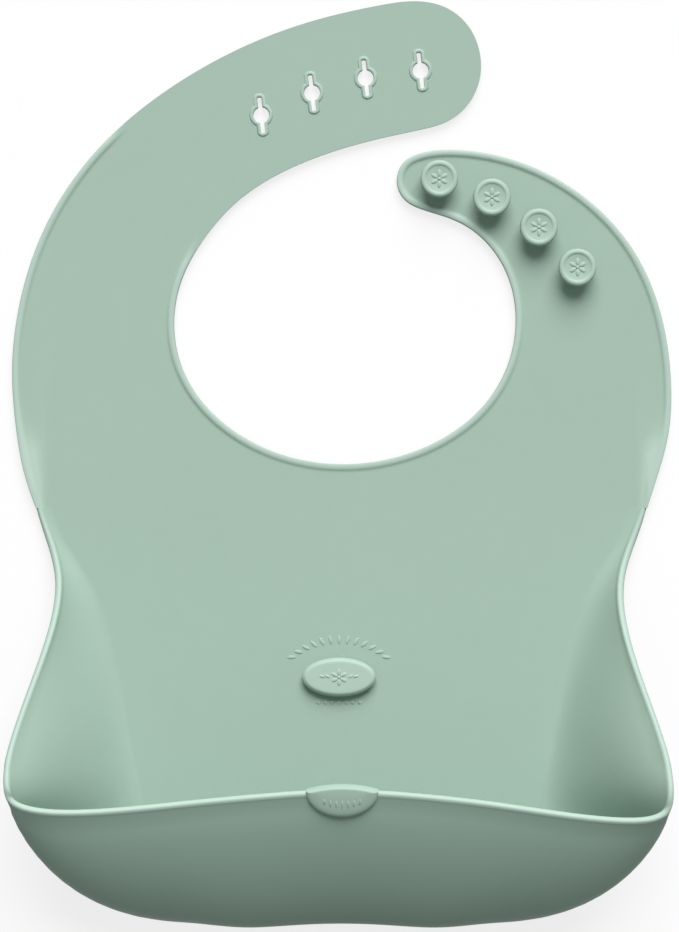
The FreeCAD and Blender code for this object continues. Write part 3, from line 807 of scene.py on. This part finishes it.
# %% Stand a shape on the lip
lip_top, lip_up, lip_out = (Vector(v) for v in on_wall(0.5, 1.0))
lip_across = lip_up.cross(lip_out).normalized()
lip_out = lip_across.cross(lip_up)
lip_frame = Matrix((lip_across, lip_up, lip_out)).transposed().to_4x4()
lip_frame.translation = lip_top + lip_up * RIM_HEIGHT
TAB_SIZE, TAB_CROWN, TAB_THICKNESS = (23.4, 17.8), 1.7, 1.1
GRIP_RIBS_EACH_SIDE, GRIP_GAP, GRIP_Y = 3, 1.9, -4.2


def half_oval(grow):
    """The pad's outline: the lower half of an oval under a low crown."""
    across, down = TAB_SIZE[0] / 2 + grow, TAB_SIZE[1] / 2 + grow
    crown = TAB_CROWN * (1 + 2.4 * grow / TAB_SIZE[1])
    low = [(across * math.cos(a), down * math.sin(a)) for a in np.linspace(math.pi, 2 * math.pi, 60)]
    high = [(across * math.cos(a), crown * math.sin(a) ** 2) for a in np.linspace(0, math.pi, 40)[1:-1]]
    return low + high


pad_front = RIM_OVERHANG + TAB_THICKNESS
bm = bmesh.new()
stack(bm, half_oval, [(-1.0, -SHEET - 0.3), (-0.4, -SHEET), (0.0, -SHEET + 0.5), (0.0, 0.35), (-0.10, 0.75),
                      (-0.35, 1.08), (-0.8, 1.32), (-1.5, 1.48), (-2.4, pad_front - 0.06), (-3.6, pad_front)])
for i in range(-GRIP_RIBS_EACH_SIDE, GRIP_RIBS_EACH_SIDE + 1):
    bump(bm, (i * GRIP_GAP, GRIP_Y + 0.12 * i * i, pad_front - 0.05), (0.36, 1.5 - 0.16 * abs(i), 0.28))
bmesh.ops.transform(bm, matrix=lip_frame, verts=bm.verts)
# the whole pad gets half the painted highlight
paint_highlight_and_wear(bm, lambda co: 0.5)
tab = make_piece(bm, "lip_grip", pocket_rubber)
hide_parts("lip_tab")
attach(tab, "pocket_flap")

# %% Hang the socket behind it
SOCKET_HOLE, SOCKET_WALL = (19.9, 8.4), 1.8
SOCKET_DROP = 0.3        # of the ring below the rim's foot
socket_middle = -(SOCKET_HOLE[1] / 2 + SOCKET_WALL) - RIM_HEIGHT - SOCKET_DROP
bm = bmesh.new()
stack(bm, oval(SOCKET_HOLE), [(0.0, -1.0), (0.0, -3.45), (0.08, -3.66), (0.3, -3.8), (1.5, -3.8),
                              (1.72, -3.66), (SOCKET_WALL, -3.45), (SOCKET_WALL, -1.0)], hollow=True)
bmesh.ops.translate(bm, verts=bm.verts, vec=(0, socket_middle, 0))
bmesh.ops.transform(bm, matrix=lip_frame, verts=bm.verts)
# the socket gets a little of the painted highlight
paint_highlight_and_wear(bm, lambda co: 0.2)
socket = make_piece(bm, "lip_socket", pocket_rubber)
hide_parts("lock_socket")
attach(socket, "pocket_flap")

# %% [markdown]
# ## Floor, light and camera
# The bib lies on a pale table under one big soft lamp that stands above its neck, with a little light
# from all round. A sun with a wide angle gives soft shadows without hot spots. The table looks almost
# white to the camera and in reflections, and keeps the bib's shadow, but throws little light back.

# %% Lay the table
TABLE_HALF_WIDTH, TABLE_Z = 3.0, -0.0006     # metres


def looked_at(recipe):
    """1 for what the camera sees, straight or by a reflection, and 0 for light that bounces on."""
    seen = recipe.node("ShaderNodeLightPath")
    for kind in ("Is Glossy Ray", "Is Transmission Ray"):
        ray = Wire(recipe, recipe.tree.nodes["Light Path"].outputs[kind])
        seen = recipe.node("ShaderNodeMath", {"operation": "MAXIMUM"}, {0: seen, 1: ray})
    return seen


table = Recipe("pale table")
pale = table.node("ShaderNodeBsdfDiffuse", {}, {"Color": (0.92, 0.92, 0.92, 1)})
white = table.node("ShaderNodeEmission", {}, {"Color": (1, 1, 1, 1), "Strength": 1.0})
dim = table.node("ShaderNodeBsdfDiffuse", {}, {"Color": (0.13, 0.14, 0.13, 1)})
bright = table.node("ShaderNodeMixShader", {}, {0: 0.8, 1: pale, 2: white})
table.node("ShaderNodeOutputMaterial", {}, {"Surface": table.node("ShaderNodeMixShader", {}, {
    0: looked_at(table), 1: dim, 2: bright})})
bm = bmesh.new()
bmesh.ops.create_grid(bm, x_segments=2, y_segments=2, size=TABLE_HALF_WIDTH)
bmesh.ops.translate(bm, vec=(0, 0, TABLE_Z), verts=bm.verts)
table_mesh = bpy.data.meshes.new("table_top")
bm.to_mesh(table_mesh)
bm.free()
table_mesh.materials.append(table.owner)
table_top = bpy.data.objects.new("table_top", table_mesh)
bpy.context.scene.collection.objects.link(table_top)

# %% Light it
KEY_FROM = Vector((0.11, 0.74, 0.66))
KEY_STRENGTH, KEY_SPREAD, ROUND_LIGHT = 3.85, math.radians(46), 0.25
lamp = bpy.data.lights.new("key", "SUN")
lamp.energy, lamp.angle = KEY_STRENGTH, KEY_SPREAD
key = bpy.data.objects.new("key", lamp)
key.rotation_euler = KEY_FROM.to_track_quat("Z", "Y").to_euler()
bpy.context.scene.collection.objects.link(key)

bpy.context.scene.world = bpy.context.scene.world or bpy.data.worlds.new("room")
room = Recipe("room", bpy.context.scene.world)
soft = room.node("ShaderNodeBackground", {}, {"Color": (0.88, 1, 0.93, 1), "Strength": ROUND_LIGHT})
clear = room.node("ShaderNodeBackground", {}, {"Color": (1, 1, 1, 1), "Strength": 1.0})
room.node("ShaderNodeOutputWorld", {}, {"Surface": room.node("ShaderNodeMixShader", {}, {
    0: looked_at(room), 1: soft, 2: clear})})
bpy.context.scene.view_settings.view_transform = "Standard"
print("lit by", lamp.name, "at", lamp.energy)

# %% Point the camera straight down
CAMERA_AT = (-0.00065, -0.00105, 1.3)
VIEW_HEIGHT = 0.31067    # how much of the table the camera sees, from its lower edge to its upper one
eye = bpy.data.cameras.new("camera")
eye.lens = eye.sensor_width * CAMERA_AT[2] / VIEW_HEIGHT
eye.clip_start, eye.clip_end = 0.05, 20
camera = bpy.data.objects.new("camera", eye)
camera.location = CAMERA_AT
bpy.context.scene.collection.objects.link(camera)
bpy.context.scene.camera = camera
print("lens", round(eye.lens, 1), "mm")
